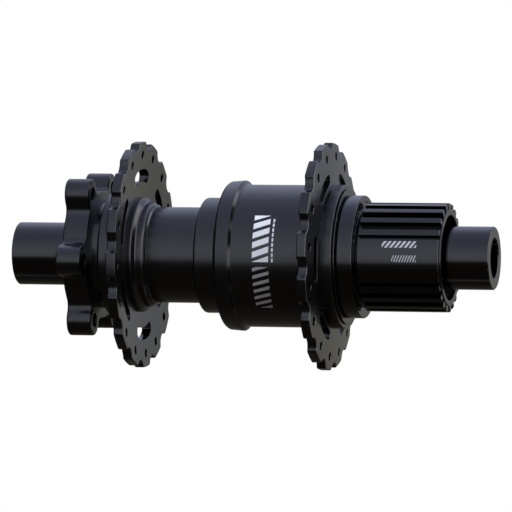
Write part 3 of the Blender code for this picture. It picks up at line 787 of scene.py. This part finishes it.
def rubber_finish(name):
    """Black moulded rubber with a fine matt texture and a little dust."""
    material, tree, shader = new_material(name)
    place, _, _, _ = places(tree)
    dust = noise(tree, place, 1.1, 5.0)
    color = mix_color(tree, remap(tree, dust, 0.4, 0.8, 0.0, 0.5), (0.006, 0.006, 0.006, 1.0),
                      (0.03, 0.028, 0.026, 1.0))
    put(tree, color, shader.inputs["Base Color"])
    put(tree, remap(tree, dust, 0.3, 0.7, 0.45, 0.65), shader.inputs["Roughness"])
    add_bump(tree, shader, ((noise(tree, place, 12.0), 0.004),))
    return material


def paint_cad_nodes(materials):
    """Give each CAD node that stays in view the material of its slot."""
    for subpart in frame["record"]["subparts"]:
        obj = frame["nodes"][subpart["node"]]
        for place in obj.material_slots:
            place.link = "OBJECT"
            place.material = materials[subpart["material_slot"]]


def smooth(tree, value, start, end):
    """0 at the start, 1 at the end, with a soft change between."""
    node = tree.nodes.new("ShaderNodeMapRange")
    node.interpolation_type = "SMOOTHSTEP"
    node.inputs["From Min"].default_value = start
    node.inputs["From Max"].default_value = end
    put(tree, value, node.inputs["Value"])
    return node.outputs[0]


def height_ramp(tree, height, stops):
    """A colour for each height, from (height, colour) pairs with heights from -1 to 1."""
    node = tree.nodes.new("ShaderNodeValToRGB")
    elements = node.color_ramp.elements
    elements.remove(elements[1])
    for number, (stop, color) in enumerate(stops):
        place = (stop + 1.0) / 2
        element = elements[0] if number == 0 else elements.new(place)
        element.position = place
        element.color = (*color, 1.0)
    put(tree, maths(tree, "MULTIPLY_ADD", height, 0.5, 0.5), node.inputs[0])
    return node.outputs[0]


def studio_light(tree, x, y, z):
    """The light from each direction: two walls by height, a dark curtain and a bright panel."""
    near = height_ramp(tree, z, (
        (-1.0, (0.050, 0.042, 0.030)), (-0.45, (0.060, 0.050, 0.036)), (-0.26, (0.14, 0.13, 0.13)),
        (-0.16, (0.92, 0.95, 1.05)), (0.0, (1.15, 1.20, 1.35)), (0.17, (1.15, 1.23, 1.45)),
        (0.42, (0.98, 1.08, 1.32)), (0.65, (0.82, 0.88, 1.12)), (0.85, (0.66, 0.72, 1.00)),
        (1.0, (0.62, 0.68, 1.00))))
    far = height_ramp(tree, z, (
        (-1.0, (0.070, 0.062, 0.050)), (-0.40, (0.10, 0.09, 0.07)), (-0.24, (0.15, 0.14, 0.11)),
        (-0.08, (0.30, 0.29, 0.24)), (-0.01, (0.31, 0.31, 0.28)), (0.05, (0.35, 0.37, 0.42)),
        (0.42, (0.50, 0.55, 0.76)), (0.64, (0.78, 0.85, 1.14)), (0.82, (0.90, 0.96, 1.32)),
        (1.0, (0.62, 0.68, 1.00))))
    light = mix_color(tree, smooth(tree, x, -0.3, 0.3), near, far)
    curtain = maths(tree, "MULTIPLY", smooth(tree, y, 0.38, 0.60), smooth(tree, z, 0.80, 0.40))
    light = mix_color(tree, curtain, light, (0.04, 0.04, 0.05, 1.0))
    upright = maths(tree, "MULTIPLY", smooth(tree, z, -0.25, -0.05), smooth(tree, z, 0.75, 0.50))
    panel = maths(tree, "MULTIPLY", smooth(tree, y, -0.45, -0.62), upright)
    return mix_color(tree, panel, light, (2.4, 2.4, 2.45, 1.0))


def make_world():
    """A studio for a black shiny part, in place of lamps, which would leave spots on it.

    A pale wall and ceiling stand over a near-black floor.  Past the rotor end hangs a dark curtain,
    and past the drive end stands a bright panel.  The camera itself sees plain white.
    """
    world = bpy.data.worlds.new("studio")
    bpy.context.scene.world = world
    world.use_nodes = True
    tree = world.node_tree
    tree.nodes.clear()
    coordinate = tree.nodes.new("ShaderNodeTexCoord")
    split = tree.nodes.new("ShaderNodeSeparateXYZ")
    tree.links.new(coordinate.outputs["Generated"], split.inputs[0])
    light = studio_light(tree, *split.outputs)
    seen = tree.nodes.new("ShaderNodeLightPath")
    white = (1.0, 1.0, 1.0, 1.0)
    background = tree.nodes.new("ShaderNodeBackground")
    put(tree, mix_color(tree, seen.outputs["Is Camera Ray"], light, white),
        background.inputs["Color"])
    output = tree.nodes.new("ShaderNodeOutputWorld")
    tree.links.new(background.outputs[0], output.inputs[0])


def floor_paint():
    """A matt pale floor with a faint mottle."""
    material, tree, shader = new_material("floor_paint")
    place, _, _, _ = places(tree)
    mottle = noise(tree, place, 0.02, 4.0)
    put(tree, mix_color(tree, mottle, (0.80, 0.80, 0.80, 1.0), (0.84, 0.84, 0.84, 1.0)),
        shader.inputs["Base Color"])
    put(tree, remap(tree, mottle, 0.3, 0.7, 0.85, 0.95), shader.inputs["Roughness"])
    return material


def make_floor():
    mesh = bpy.data.meshes.new("floor")
    edit = bmesh.new()
    bmesh.ops.create_circle(edit, cap_ends=True, segments=64, radius=FLOOR_RADIUS)
    edit.to_mesh(mesh)
    edit.free()
    floor = add_object("floor", mesh)
    floor.location.z = FLOOR_HEIGHT
    floor.data.materials.append(floor_paint())
    floor.visible_glossy = False
    floor.visible_diffuse = False


def make_ceiling():
    """A wide soft lamp over the floor, which shiny faces don't mirror."""
    lamp = bpy.data.lights.new("ceiling", "AREA")
    lamp.size = CEILING_SIZE
    lamp.energy = CEILING_WATTS
    ceiling = bpy.data.objects.new("ceiling", lamp)
    ceiling.location = (0.0, 0.0, CEILING_HEIGHT)
    ceiling.visible_glossy = False
    bpy.context.scene.collection.objects.link(ceiling)


def make_camera():
    """A long lens on the -X side, swung towards the drive end and aimed at the hub's middle."""
    data = bpy.data.cameras.new("camera")
    data.sensor_width = SENSOR_MM
    data.lens = LENS_MM
    data.shift_x = SHIFT_X
    data.shift_y = SHIFT_Y
    camera = bpy.data.objects.new("camera", data)
    camera.location = (-CAMERA_DISTANCE * math.cos(CAMERA_SWING),
                       -CAMERA_DISTANCE * math.sin(CAMERA_SWING), 0.0)
    aim = (-camera.location).to_track_quat("-Z", "Y")
    camera.rotation_mode = "QUATERNION"
    camera.rotation_quaternion = aim @ Quaternion((0.0, 0.0, 1.0), CAMERA_ROLL)
    bpy.context.scene.collection.objects.link(camera)
    bpy.context.scene.camera = camera


def main():
    shell = anodised("satin_black", 0.2, 0.0025, barrel_marks)
    gloss = anodised("gloss_black", 0.1, 0.0008)
    marked_gloss = anodised("marked_gloss_black", 0.1, 0.0005, freehub_marks)
    cover = anodised("cover_black", 0.2, 0.0025)
    rubber = rubber_finish("rubber")
    make_hub_shell(shell)
    make_freehub_body(marked_gloss)
    make_end_caps(gloss)
    make_clutch_cover(cover)
    make_seals(rubber)
    paint_cad_nodes({
        "shell_anodising": shell,
        "freehub_anodising": marked_gloss,
        "cap_anodising": gloss,
        "cover_anodising": cover,
        "axle_aluminium": metal("turned_aluminium", (0.62, 0.63, 0.65), (0.50, 0.51, 0.53), 0.30, 0.2),
        "bearing_steel": metal("ground_steel", (0.62, 0.62, 0.64), (0.50, 0.51, 0.53), 0.20, 0.1),
        "cage_bronze": metal("turned_bronze", (0.55, 0.38, 0.17), (0.42, 0.28, 0.12), 0.32, 0.2),
        "seal_rubber": rubber,
    })
    make_world()
    make_floor()
    make_ceiling()
    make_camera()
    bpy.context.scene.view_settings.view_transform = "Standard"


main()
